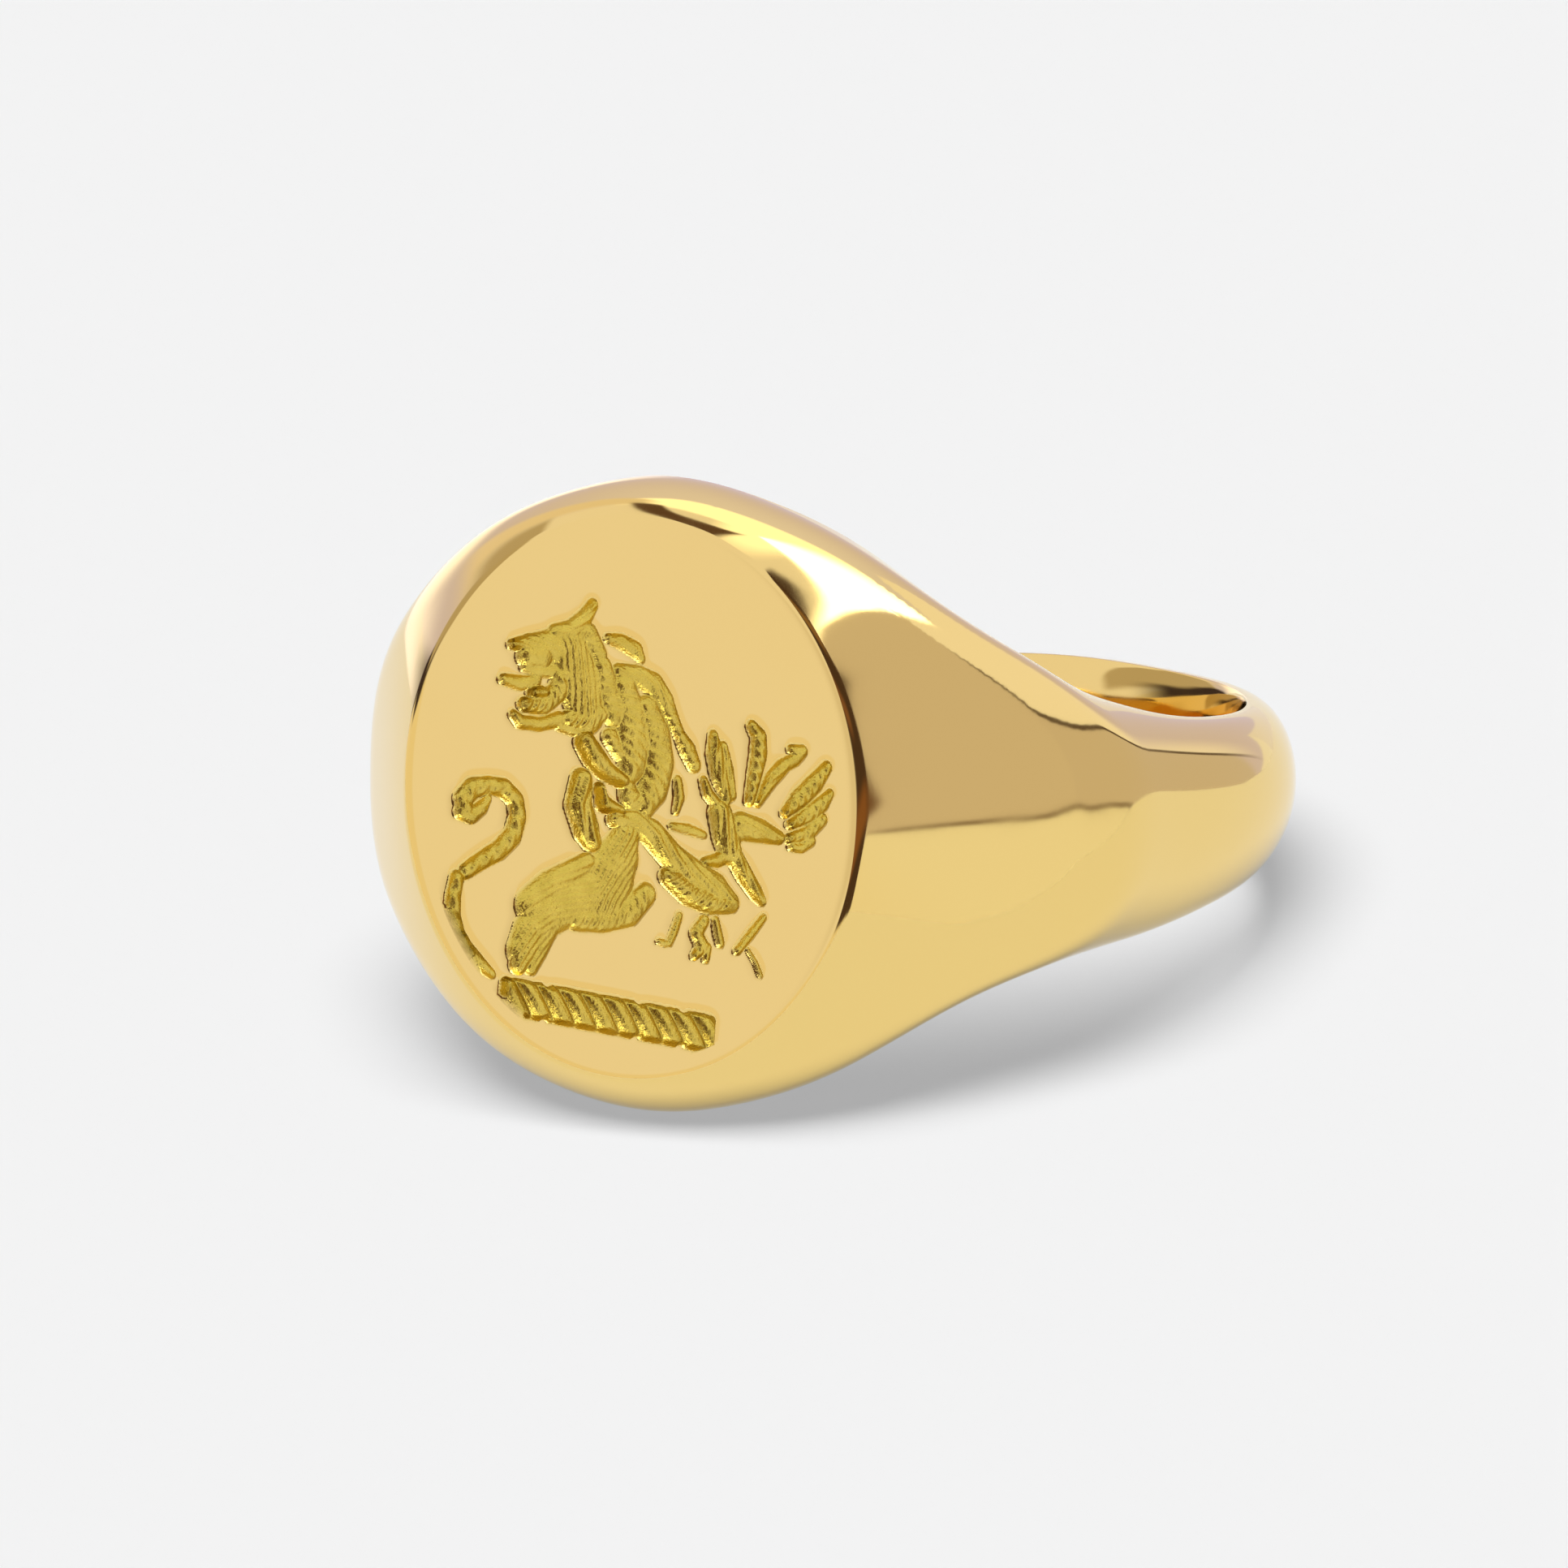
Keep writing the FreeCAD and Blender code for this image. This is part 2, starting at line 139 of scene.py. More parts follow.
# ---------------------------------------------------------------- the engraving
# Gouge strokes: points (x, z, half width) in mm, depth, grain and its spacing. A rearing beast with a sprig.
STROKES = [
    ([(-1.81, 3.34, 0.438), (-1.53, 2.62, 0.537), (-1.29, 1.89, 0.438)], 0.20, "hair", 0.16),
    ([(-3.34, 3.33, 0.080), (-2.86, 3.36, 0.199), (-2.34, 3.36, 0.318), (-1.77, 3.24, 0.398)], 0.17, "hair", 0.14),
    ([(-2.90, 3.10, 0.259), (-2.59, 3.14, 0.298)], 0.21, "none", 0.00),
    ([(-2.17, 3.67, 0.159), (-1.74, 3.76, 0.179), (-1.40, 4.05, 0.159), (-1.17, 4.38, 0.100)], 0.17, "hair", 0.14),
    ([(-1.83, 3.75, 0.119), (-1.30, 3.68, 0.239), (-0.98, 3.25, 0.179)], 0.15, "rib", 0.16),
    ([(-3.00, 2.81, 0.060), (-2.62, 2.76, 0.100), (-2.23, 2.79, 0.139)], 0.12, "none", 0.00),
    ([(-3.55, 2.51, 0.090), (-3.09, 2.45, 0.139), (-2.66, 2.54, 0.100)], 0.12, "none", 0.00),
    ([(-2.78, 2.25, 0.100), (-2.50, 2.27, 0.100)], 0.26, "none", 0.00),
    ([(-2.97, 1.96, 0.139), (-2.47, 1.99, 0.179), (-2.09, 2.32, 0.219), (-2.01, 2.70, 0.179)], 0.19, "rib", 0.20),
    ([(-3.24, 1.71, 0.080), (-3.06, 1.56, 0.119), (-2.54, 1.54, 0.119), (-2.02, 1.69, 0.139)], 0.15, "none", 0.00),
    ([(-1.76, 1.71, 0.179), (-1.28, 1.70, 0.199), (-0.94, 1.88, 0.159)], 0.20, "rib", 0.18),
    ([(-2.02, 1.52, 0.060), (-1.66, 1.43, 0.060), (-1.47, 1.41, 0.040)], 0.12, "none", 0.00),
    ([(-0.89, 2.96, 0.219), (-0.74, 2.45, 0.279), (-0.53, 1.94, 0.298)], 0.17, "rib", 0.22),
    ([(-0.31, 2.56, 0.259), (-0.07, 1.94, 0.358), (-0.00, 1.29, 0.398), (-0.03, 0.73, 0.318)], 0.19, "rib", 0.26),
    ([(0.34, 2.12, 0.239), (0.60, 1.52, 0.338), (0.71, 0.88, 0.358), (0.55, 0.27, 0.358), (0.37, -0.12, 0.239)], 0.19, "rib", 0.28),
    ([(-0.45, 2.92, 0.119), (0.05, 2.84, 0.199), (0.52, 2.65, 0.239), (0.84, 2.30, 0.199)], 0.15, "hair", 0.15),
    ([(0.88, 2.23, 0.179), (1.07, 1.87, 0.139), (1.25, 1.55, 0.119), (1.48, 1.23, 0.179), (1.67, 0.89, 0.139)], 0.14, "rib", 0.24),
    ([(-0.73, 3.63, 0.080), (-0.38, 3.58, 0.139), (0.01, 3.42, 0.159), (0.17, 3.23, 0.080)], 0.12, "hair", 0.14),
    ([(-1.31, 1.22, 0.219), (-1.03, 0.86, 0.259), (-0.72, 0.59, 0.199), (-0.32, 0.39, 0.119)], 0.30, "none", 0.00),
    ([(-0.88, 0.16, 0.119), (-0.78, -0.16, 0.159), (-0.34, -0.30, 0.080)], 0.28, "none", 0.00),
    ([(-0.19, 0.40, 0.159), (-0.05, 0.00, 0.239), (0.26, -0.09, 0.159)], 0.16, "rib", 0.20),
    ([(1.24, 0.50, 0.090), (1.30, 0.13, 0.100), (1.22, -0.21, 0.050)], 0.10, "none", 0.00),
    ([(1.11, -0.55, 0.060), (1.54, -0.59, 0.090), (1.98, -0.69, 0.060)], 0.09, "hair", 0.10),
    ([(-0.62, 1.38, 0.179), (-0.39, 1.02, 0.139)], 0.14, "rib", 0.18),
    ([(-1.36, 0.32, 0.239), (-1.43, -0.25, 0.298), (-1.20, -0.79, 0.298), (-1.06, -1.04, 0.219)], 0.24, "hair", 0.26),
    ([(-0.47, -0.51, 0.139), (0.06, -0.51, 0.219), (0.59, -0.77, 0.279), (1.13, -1.26, 0.279), (1.66, -1.63, 0.338), (2.28, -1.92, 0.338), (2.73, -2.19, 0.199)], 0.20, "hair", 0.22),
    ([(1.06, -1.71, 0.199), (1.59, -2.05, 0.239), (2.16, -2.23, 0.219), (2.64, -2.27, 0.139)], 0.22, "rib", 0.20),
    ([(-0.15, -0.86, 0.318), (-0.31, -1.36, 0.478), (-0.55, -1.86, 0.597), (-0.71, -2.32, 0.597)], 0.20, "hair", 0.15),
    ([(-1.17, -1.54, 0.179), (-1.64, -1.87, 0.259), (-2.15, -2.20, 0.338), (-2.62, -2.65, 0.378)], 0.17, "hair", 0.17),
    ([(-1.02, -2.23, 0.478), (-1.62, -2.50, 0.478), (-2.22, -2.80, 0.478), (-2.64, -3.25, 0.398), (-2.84, -3.71, 0.358), (-2.96, -4.05, 0.179)], 0.19, "hair", 0.15),
    ([(-1.43, -2.90, 0.199), (-0.69, -2.84, 0.239), (-0.00, -2.61, 0.279), (0.46, -2.16, 0.219)], 0.17, "rib", 0.24),
    ([(-2.21, -3.18, 0.239), (-2.45, -3.64, 0.239), (-2.61, -4.06, 0.159)], 0.15, "hair", 0.14),
    ([(-4.52, -0.58, 0.179), (-4.57, -0.32, 0.199), (-4.32, -0.06, 0.199), (-3.88, 0.04, 0.159), (-3.45, -0.00, 0.179), (-3.13, -0.26, 0.179), (-3.06, -0.63, 0.179), (-3.19, -1.08, 0.189), (-3.57, -1.45, 0.179), (-4.04, -1.72, 0.159), (-4.45, -1.99, 0.139)], 0.16, "rib", 0.40),
    ([(-4.60, -0.62, 0.159), (-4.34, -0.68, 0.159), (-4.04, -0.47, 0.119), (-3.92, -0.28, 0.080)], 0.15, "hair", 0.14),
    ([(-4.68, -2.16, 0.139), (-4.76, -2.58, 0.159), (-4.78, -3.03, 0.179), (-4.64, -3.46, 0.179), (-4.32, -3.85, 0.159)], 0.16, "rib", 0.44),
    ([(-4.30, -3.81, 0.139), (-3.96, -4.10, 0.119), (-3.65, -4.31, 0.070)], 0.13, "none", 0.00),
    ([(2.40, -0.16, 0.259), (2.55, -0.63, 0.298), (2.69, -1.03, 0.259)], 0.20, "hair", 0.20),
    ([(2.00, -1.31, 0.060), (2.35, -1.25, 0.119), (2.78, -0.99, 0.179)], 0.16, "none", 0.00),
    ([(2.78, -1.07, 0.179), (3.10, -1.53, 0.179), (3.42, -1.92, 0.139), (3.58, -2.09, 0.080)], 0.19, "hair", 0.18),
    ([(2.97, -0.42, 0.279), (3.50, -0.49, 0.219), (3.98, -0.61, 0.119)], 0.19, "hair", 0.18),
    ([(2.17, 1.61, 0.080), (2.22, 1.17, 0.179), (2.35, 0.66, 0.179), (2.54, 0.19, 0.119)], 0.16, "hair", 0.16),
    ([(2.44, 1.37, 0.080), (2.58, 0.82, 0.119), (2.71, 0.27, 0.080)], 0.13, "hair", 0.12),
    ([(1.94, 0.55, 0.070), (2.06, 0.26, 0.100), (2.31, 0.02, 0.100)], 0.14, "none", 0.00),
    ([(3.17, 0.16, 0.080), (3.29, 0.72, 0.139), (3.40, 1.26, 0.179), (3.39, 1.66, 0.159), (3.20, 1.88, 0.100)], 0.15, "rib", 0.26),
    ([(3.39, 0.14, 0.070), (3.72, 0.68, 0.139), (4.02, 1.00, 0.139)], 0.15, "hair", 0.16),
    ([(4.06, 1.04, 0.119), (4.36, 1.21, 0.119), (4.57, 1.41, 0.100), (4.26, 1.43, 0.070)], 0.13, "none", 0.00),
    ([(4.14, -0.04, 0.080), (4.48, 0.29, 0.179), (4.90, 0.69, 0.179), (5.23, 1.09, 0.100)], 0.16, "rib", 0.24),
    ([(4.28, -0.29, 0.080), (4.75, -0.03, 0.159), (5.13, 0.26, 0.139), (5.34, 0.50, 0.060)], 0.15, "rib", 0.24),
    ([(4.25, -0.62, 0.080), (4.72, -0.48, 0.139), (5.14, -0.11, 0.100)], 0.14, "rib", 0.24),
    ([(4.34, -0.80, 0.060), (4.60, -0.80, 0.080), (4.86, -0.62, 0.080)], 0.12, "none", 0.00),
    ([(1.39, -2.58, 0.050), (1.25, -2.97, 0.060), (1.13, -3.24, 0.050)], 0.09, "none", 0.00),
    ([(0.85, -3.22, 0.036), (1.02, -3.26, 0.052)], 0.08, "none", 0.00),
    ([(2.05, -2.65, 0.100), (1.84, -2.96, 0.119), (2.02, -3.25, 0.139), (1.81, -3.49, 0.060)], 0.12, "rib", 0.16),
    ([(2.15, -3.27, 0.080), (2.12, -3.54, 0.060)], 0.11, "none", 0.00),
    ([(2.35, -2.63, 0.070), (2.43, -2.92, 0.080), (2.50, -3.14, 0.080)], 0.10, "none", 0.00),
    ([(3.65, -2.46, 0.048), (3.32, -2.86, 0.068), (2.96, -3.29, 0.060)], 0.10, "none", 0.00),
    ([(3.24, -3.23, 0.026), (3.47, -3.52, 0.030), (3.61, -3.80, 0.036)], 0.07, "none", 0.00),
]
BAR = ((-3.45, -4.76), (2.42, -5.26), 0.45)          # the plain twisted wreath below
BAR_CUTS = (0.215, 0.64, 0.845)


def stroke(x, z, pts, depth, grain, step):
    """Depth of one gouge stroke: round-bottomed, tapering, with the tool's ribs or hair lines in it."""
    h = np.zeros_like(x); run = 0.0
    if len(pts) == 1:
        pts = pts * 2
    pts = [(px, pz, pr * 1.12 + 0.035) for px, pz, pr in pts]
    for (x0, z0, r0), (x1, z1, r1) in zip(pts[:-1], pts[1:]):
        dx, dz = x1 - x0, z1 - z0; L = math.hypot(dx, dz) + 1e-9
        rm = max(r0, r1) + 0.02
        near = (x > min(x0, x1) - rm) & (x < max(x0, x1) + rm) & (z > min(z0, z1) - rm) & (z < max(z0, z1) + rm)
        if near.any():
            px, pz = x[near] - x0, z[near] - z0
            t = np.clip((px * dx + pz * dz) / L ** 2, 0, 1)
            side = (px * -dz + pz * dx) / L
            dist = np.hypot(px - t * dx, pz - t * dz)
            u = np.clip(dist / (r0 + (r1 - r0) * t), 0, 1)
            bowl = depth * (0.38 * np.minimum((1 - u) * 4.0, 1.0) + 0.62 * (1 - u * u))
            if grain == "rib":
                bowl = bowl + 0.105 * depth * (1 - u ** 2) * np.sin(2 * math.pi * (run + t * L - 0.6 * side) / step)
            elif grain == "hair":
                bowl = bowl + 0.10 * depth * (1 - u ** 2) * np.sin(2 * math.pi * (side + 0.25 * (run + t * L)) / step)
            h[near] = np.maximum(h[near], bowl)
        run += L
    return h


def relief(x, z):
    """Depth of the cut below the seal face, in mm."""
    h = np.zeros_like(x)
    for pts, depth, grain, step in STROKES:
        h = np.maximum(h, stroke(x, z, pts, 1.15 * depth, grain, step))
    (x0, z0), (x1, z1), r = BAR
    L = math.hypot(x1 - x0, z1 - z0); ux, uz = (x1 - x0) / L, (z1 - z0) / L
    along = (x - x0) * ux + (z - z0) * uz; side = -(x - x0) * uz + (z - z0) * ux
    rr = 0.16
    ox = np.maximum(np.maximum(-along, along - L) + rr, 0); oz = np.maximum(np.abs(side) - r + rr, 0)
    out = rr - np.hypot(ox, oz)                                      # distance inside the bar's outline
    for c in BAR_CUTS:
        out = np.minimum(out, np.hypot((along - c * L) * 1.0, np.maximum(r - np.abs(side), 0) * 1.3) - 0.10)
    ins = np.clip(out / 0.10, 0, 1)
    twist = (along + 0.75 * side) / 0.60
    f = twist - np.floor(twist)
    lobe = np.sqrt(np.clip(1 - (2 * f - 1) ** 2, 0, 1))
    strand = 0.5 + 0.5 * np.sin(2 * math.pi * (along + 0.9 * side) / 0.133)
    bar = ins * (0.07 + 0.23 * lobe + 0.014 * strand) * (1 - 0.25 * (side / r) ** 2)
    return np.maximum(h, bar)


def blur(a, sigma):
    n = int(math.ceil(3 * sigma)); k = np.exp(-0.5 * (np.arange(-n, n + 1) / sigma) ** 2); k /= k.sum()
    for axis in (0, 1):
        p = np.pad(a, [(n, n) if i == axis else (0, 0) for i in (0, 1)], mode="edge")
        a = sum(w * (p[i:i + a.shape[0]] if axis == 0 else p[:, i:i + a.shape[1]]) for i, w in enumerate(k))
    return a


def engraved(x, z):
    """Depth, slope and cut mask, with the soft rolled lip that polishing leaves round the cuts."""
    step = 0.016
    gx, gz = np.arange(-6.2, 6.2, step), np.arange(-6.6, 6.6, step)
    raw = relief(*np.meshgrid(gx, gz, indexing="ij"))
    mask = blur((raw > 0.012).astype(float), 2.0)
    lip = blur((raw > 0.012).astype(float), 8.0)
    h = blur(raw, 1.3) + 0.045 * lip
    hx, hz = np.gradient(h, step, step)

    def at(f):
        u = np.clip((x - gx[0]) / step, 0, len(gx) - 1.001); v = np.clip((z - gz[0]) / step, 0, len(gz) - 1.001)
        i, j = u.astype(int), v.astype(int); a, c = u - i, v - j
        return (f[i, j] * (1 - a) * (1 - c) + f[i + 1, j] * a * (1 - c) + f[i, j + 1] * (1 - a) * c + f[i + 1, j + 1] * a * c)
    return at(h), at(hx), at(hz), at(mask)


# ---------------------------------------------------------------- mesh assembly
class Build:
    """Vertices with their own normals, and faces whose corners may take another normal."""

    def __init__(self):
        self.co, self.no, self.cut, self.faces, self.flat = [], [], [], [], []
        self.n = 0

    def add(self, co, no, cut=None):
        co = co.reshape(-1, 3); no = no.reshape(-1, 3)
        self.co.append(co); self.no.append(no)
        self.cut.append(np.zeros(len(co)) if cut is None else cut.reshape(-1))
        ids = np.arange(self.n, self.n + len(co)); self.n += len(co)
        return ids

    def quads(self, g, flip=False, flat=None):
        """g is a grid of vertex ids."""
        a, b, c, d = g[:-1, :-1].ravel(), g[1:, :-1].ravel(), g[1:, 1:].ravel(), g[:-1, 1:].ravel()
        f = np.stack([a, d, c, b] if flip else [a, b, c, d], 1)
        self.faces += f.tolist(); self.flat += [flat] * len(f)

    def tri(self, a, b, c, flip=False, flat=None):
        self.faces.append([a, c, b] if flip else [a, b, c]); self.flat.append(flat)

    def object(self, name, material):
        co = (lie_down(np.concatenate(self.co)) + np.array([0, 0, LIFT])) * MM
        no = lie_down(np.concatenate(self.no))
        me = bpy.data.meshes.new(name)
        me.from_pydata(co.tolist(), [], self.faces)
        me.update()
        me.polygons.foreach_set("use_smooth", np.ones(len(me.polygons), bool))
        loops = np.empty(len(me.loops), np.int32); me.loops.foreach_get("vertex_index", loops)
        ln = no[loops]
        starts = np.empty(len(me.polygons), np.int32); me.polygons.foreach_get("loop_start", starts)
        totals = np.empty(len(me.polygons), np.int32); me.polygons.foreach_get("loop_total", totals)
        for i, fl in enumerate(self.flat):
            if fl is not None:
                ln[starts[i]:starts[i] + totals[i]] = lie_down(np.array(fl, float))
        me.normals_split_custom_set(ln.tolist())
        at = me.attributes.new("cut", "FLOAT", "POINT")
        at.data.foreach_set("value", np.concatenate(self.cut).astype(np.float32))
        me.materials.append(material)
        ob = bpy.data.objects.new(name, me)
        bpy.context.scene.collection.objects.link(ob)
        return ob


def phi_samples(th, n):
    """Section angles with even steps along the outline of section th."""
    ph = np.linspace(-math.pi / 2, math.pi / 2, 2001)
    p = outer(np.full_like(ph, th), ph)
    s = np.concatenate([[0], np.cumsum(np.linalg.norm(np.diff(p, axis=0), axis=1))])
    out = np.interp(np.linspace(0, s[-1], n + 1), s, ph)
    out[0], out[-1] = -math.pi / 2, math.pi / 2
    return (out - out[::-1]) / 2


def hole_strip(b, th, low, high):
    """The finger hole's wall, gently barrelled and rolled over at both rims, between two rows of rim vertices."""
    wu, wl = upper_width(th), lower_width(th); n = 26
    s, c = np.sin(th), np.cos(th)
    rows = [high]
    for k in range(1, n):
        a = math.pi / 2 * (1 - 2 * k / n)
        w = wu if a >= 0 else wl
        r = RB - RC * math.cos(a)
        nr, nz = -math.cos(a) * w, math.sin(a) * RC + 0 * w
        size = np.hypot(nr, nz)
        rows.append(b.add(np.stack([r * s, -r * c, w * math.sin(a)], -1), np.stack([nr * s, -nr * c, nz], -1) / size[:, None]))
    rows.append(low)
    b.quads(np.stack(rows, 0), flip=True)
    return np.stack(rows, 0)


def cap(b, ring, th, sign):
    """Closes a section at a seam plane with a flat, unseen face."""
    n = sign * np.array([math.cos(th), math.sin(th), 0.0])
    co = np.concatenate(b.co)[ring].mean(0)
    mid = b.add(co[None], n[None])[0]
    m = len(ring)
    for i in range(m):
        a, c = int(ring[i]), int(ring[(i + 1) % m])
        b.tri(int(mid), a, c, flip=sign > 0, flat=n.tolist())


def half_hoop(th0, th1, nth, nph, phis):
    """A closed piece of the hoop between two section planes."""
    b = Build()
    th = np.linspace(th0, th1, nth + 1)
    TH, PH = np.meshgrid(th, phis, indexing="ij")
    g = b.add(outer(TH, PH), outer_normal(TH, PH)).reshape(TH.shape)
    b.quads(g)
    rows = hole_strip(b, th, g[:, 0], g[:, -1])
    for end, sign in ((0, -1), (-1, 1)):
        ring = np.concatenate([g[end, :], rows[1:-1, end]])
        cap(b, ring, th[end], sign)
    return b


def head(material, n_in=248):
    b = Build()
    k4 = n_in // 4
    a_in, b_in = A0 - 0.50, B0 - 0.50
    # the flat and engraved part of the face
    u = np.linspace(-1, 1, n_in + 1)
    U, V = np.meshgrid(u, u, indexing="ij")
    X = a_in * U * np.sqrt(1 - V * V / 2); Z = b_in * V * np.sqrt(1 - U * U / 2)
    H, HX, HZ, CUT = engraved(X, Z)
    N = np.stack([HX, -np.ones_like(HX), HZ], -1); N /= np.linalg.norm(N, axis=-1, keepdims=True)
    g = b.add(np.stack([X, -D + H, Z], -1), N, cut=CUT).reshape(X.shape)
    b.quads(g)
    # its border, anticlockwise from the lower right corner
    border = np.concatenate([g[-1, :-1], g[::-1, -1][:-1], g[0, ::-1][:-1], g[:, 0][:-1]])
    psi_u = np.concatenate([u[::4][:-1] * 0 + 1, u[::-4][:-1], u[::4][:-1] * 0 - 1, u[::4][:-1]])
    psi_v = np.concatenate([u[::4][:-1], u[::4][:-1] * 0 + 1, u[::-4][:-1], u[::4][:-1] * 0 - 1])
    ex, ez = psi_u * np.sqrt(1 - psi_v ** 2 / 2), psi_v * np.sqrt(1 - psi_u ** 2 / 2)
    # start ellipse just outside the border, and the rectangle in (angle, section angle) it opens to
    sx, sz = (A0 - 0.42) * ex, (B0 - 0.42) * ez
    th_s = np.arctan2(sx, D); ph_s = np.arctan2(sz, D / np.cos(th_s) - RB)
    T1 = math.radians(50.0)
    phis = phi_samples(math.radians(62.0), k4)
    ths = np.linspace(-T1, T1, k4 + 1)
    th_e = np.concatenate([np.full(k4, T1), ths[::-1][:-1], np.full(k4, -T1), ths[:-1]])
    ph_e = np.concatenate([phis[:-1], np.full(k4, math.pi / 2), phis[::-1][:-1], np.full(k4, -math.pi / 2)])
    m = 4 * k4
    fine = np.linspace(0, 1, 601)[None]
    TH = th_s[:, None] + (th_e - th_s)[:, None] * fine; PH = ph_s[:, None] + (ph_e - ph_s)[:, None] * fine
    P = outer(TH, PH)
    S = np.concatenate([np.zeros((m, 1)), np.cumsum(np.linalg.norm(np.diff(P, axis=1), axis=2), axis=1)], 1)
    n1, n2 = 26, 30
    T = np.zeros((m, n1 + n2 + 1))
    for i in range(m):
        total = S[i, -1]; first = min(0.95, total * 0.6)
        rest = np.linspace(0, 1, n2 + 1)[1:]
        step = first / n1
        grow = rest ** 1.0 if (total - first) / n2 < step * 1.5 else rest * (0.35 + 0.65 * rest)
        st = np.concatenate([np.linspace(0, first, n1 + 1), first + (total - first) * grow])
        T[i] = np.interp(st, S[i], fine[0])
    T[:, 0] = 0; T[:, -1] = 1
    TH = th_s[:, None] + (th_e - th_s)[:, None] * T; PH = ph_s[:, None] + (ph_e - ph_s)[:, None] * T
    r = b.add(outer(TH, PH), outer_normal(TH, PH)).reshape(TH.shape)
    ring = np.concatenate([r, r[:1]], 0)
    b.quads(ring, flip=True)
    # strip between the fine border and the coarser rays
    nb = len(border)
    for k in range(m):
        f = [int(border[(4 * k + j) % nb]) for j in range(5)]
        p, q = int(ring[k, 0]), int(ring[k + 1, 0])
        b.tri(f[0], p, f[1]); b.tri(f[1], p, f[2]); b.tri(p, q, f[2])
        b.tri(f[2], q, f[3]); b.tri(f[3], q, f[4])
    # shoulders
    right_edge = ring[:k4 + 1, -1]                    # low to high at +T1
    left_edge = ring[2 * k4:3 * k4 + 1, -1][::-1]     # low to high at -T1
    top_edge = ring[k4:2 * k4 + 1, -1][::-1]          # -T1 to T1
    low_edge = ring[3 * k4:4 * k4 + 1, -1]            # -T1 to T1
    nb_ = 58
    tb = np.linspace(T1, SEAM_A, nb_ + 1)[1:]
    TB, PB = np.meshgrid(tb, phis, indexing="ij")
    gr = b.add(outer(TB, PB), outer_normal(TB, PB)).reshape(TB.shape)
    gr = np.concatenate([right_edge[None], gr], 0)
    b.quads(gr)
    tl = -tb[::-1]
    TB, PB = np.meshgrid(tl, phis, indexing="ij")
    gl = b.add(outer(TB, PB), outer_normal(TB, PB)).reshape(TB.shape)
    gl = np.concatenate([gl, left_edge[None]], 0)
    b.quads(gl)
    th = np.concatenate([tl, ths, tb])
    high = np.concatenate([gl[:-1, -1], top_edge, gr[1:, -1]])
    low = np.concatenate([gl[:-1, 0], low_edge, gr[1:, 0]])
    rows = hole_strip(b, th, low, high)
    cap(b, np.concatenate([gl[0, :], rows[1:-1, 0]]), -SEAM_A, -1)
    cap(b, np.concatenate([gr[-1, :], rows[1:-1, -1]]), SEAM_A, 1)
    return b.object("signet_head", material), phis


# ---------------------------------------------------------------- materials
def gold(name, pale, deep, rough, wave, cut_colour_with_painted_shade=None):
    """Worn polished metal: cloudy sheen, hairline wear and, where the graver went, a matt tooled finish whose darker,
    more saturated colour is painted shade and painted gold-on-gold reflection in the cuts.
    """
    m = bpy.data.materials.new(name); m.use_nodes = True
    nt = m.node_tree; bs = nt.nodes["Principled BSDF"]; link = nt.links.new
    bs.inputs["Metallic"].default_value = 1.0
    tc = nt.nodes.new("ShaderNodeTexCoord")

    def noise(scale, detail, stretch=(1, 1, 1)):
        mp = nt.nodes.new("ShaderNodeMapping"); mp.inputs["Scale"].default_value = stretch
        link(tc.outputs["Object"], mp.inputs["Vector"])
        n = nt.nodes.new("ShaderNodeTexNoise"); n.inputs["Scale"].default_value = scale
        n.inputs["Detail"].default_value = detail
        link(mp.outputs[0], n.inputs["Vector"])
        return n.outputs["Fac"]

    def ranged(src, lo, hi):
        r = nt.nodes.new("ShaderNodeMapRange"); link(src, r.inputs[0])
        r.inputs[1].default_value, r.inputs[2].default_value = 0.3, 0.7
        r.inputs[3].default_value, r.inputs[4].default_value = lo, hi
        return r.outputs[0]

    def blend(fac, a, b, kind):
        x = nt.nodes.new("ShaderNodeMix"); x.data_type = kind
        k = {"RGBA": (6, 7, 2), "FLOAT": (2, 3, 0)}[kind]
        link(fac, x.inputs[0])
        for i, v in zip(k[:2], (a, b)):
            if isinstance(v, (tuple, float)):
                x.inputs[i].default_value = v + (1,) if isinstance(v, tuple) else v
            else:
                link(v, x.inputs[i])
        return x.outputs[k[2]]

    def bump(height, distance, strength, normal=None):
        bp = nt.nodes.new("ShaderNodeBump")
        bp.inputs["Distance"].default_value = distance
        link(height, bp.inputs["Height"])
        if isinstance(strength, float):
            bp.inputs["Strength"].default_value = strength
        else:
            link(strength, bp.inputs["Strength"])
        if normal is not None:
            link(normal, bp.inputs["Normal"])
        return bp.outputs[0]

    color = blend(noise(260.0, 3.0), pale, deep, "RGBA")
    sheen = ranged(noise(900.0, 4.0), rough[0], rough[1])
    normal = bump(noise(700.0, 2.0), wave, 0.6)
    normal = bump(noise(5200.0, 2.0, (1.0, 1.0, 0.12)), wave * 0.12, 0.5, normal)
    if cut_colour_with_painted_shade is not None:
        at = nt.nodes.new("ShaderNodeAttribute"); at.attribute_name = "cut"
        # the cuts' colour is darker and more saturated than the polished gold: painted shade and painted gold-on-gold
        # reflection in the recesses; the rougher sheen and fine bumps below are the real tooled finish
        tool = blend(noise(2600.0, 3.0), cut_colour_with_painted_shade[0], cut_colour_with_painted_shade[1], "RGBA")
        color = blend(at.outputs["Fac"], color, tool, "RGBA")
        sheen = blend(at.outputs["Fac"], sheen, ranged(noise(6000.0, 2.0), 0.17, 0.30), "FLOAT")
        normal = bump(noise(14000.0, 3.0), 2.2e-5, at.outputs["Fac"], normal)
    link(color, bs.inputs["Base Color"]); link(sheen, bs.inputs["Roughness"]); link(normal, bs.inputs["Normal"])
    return m


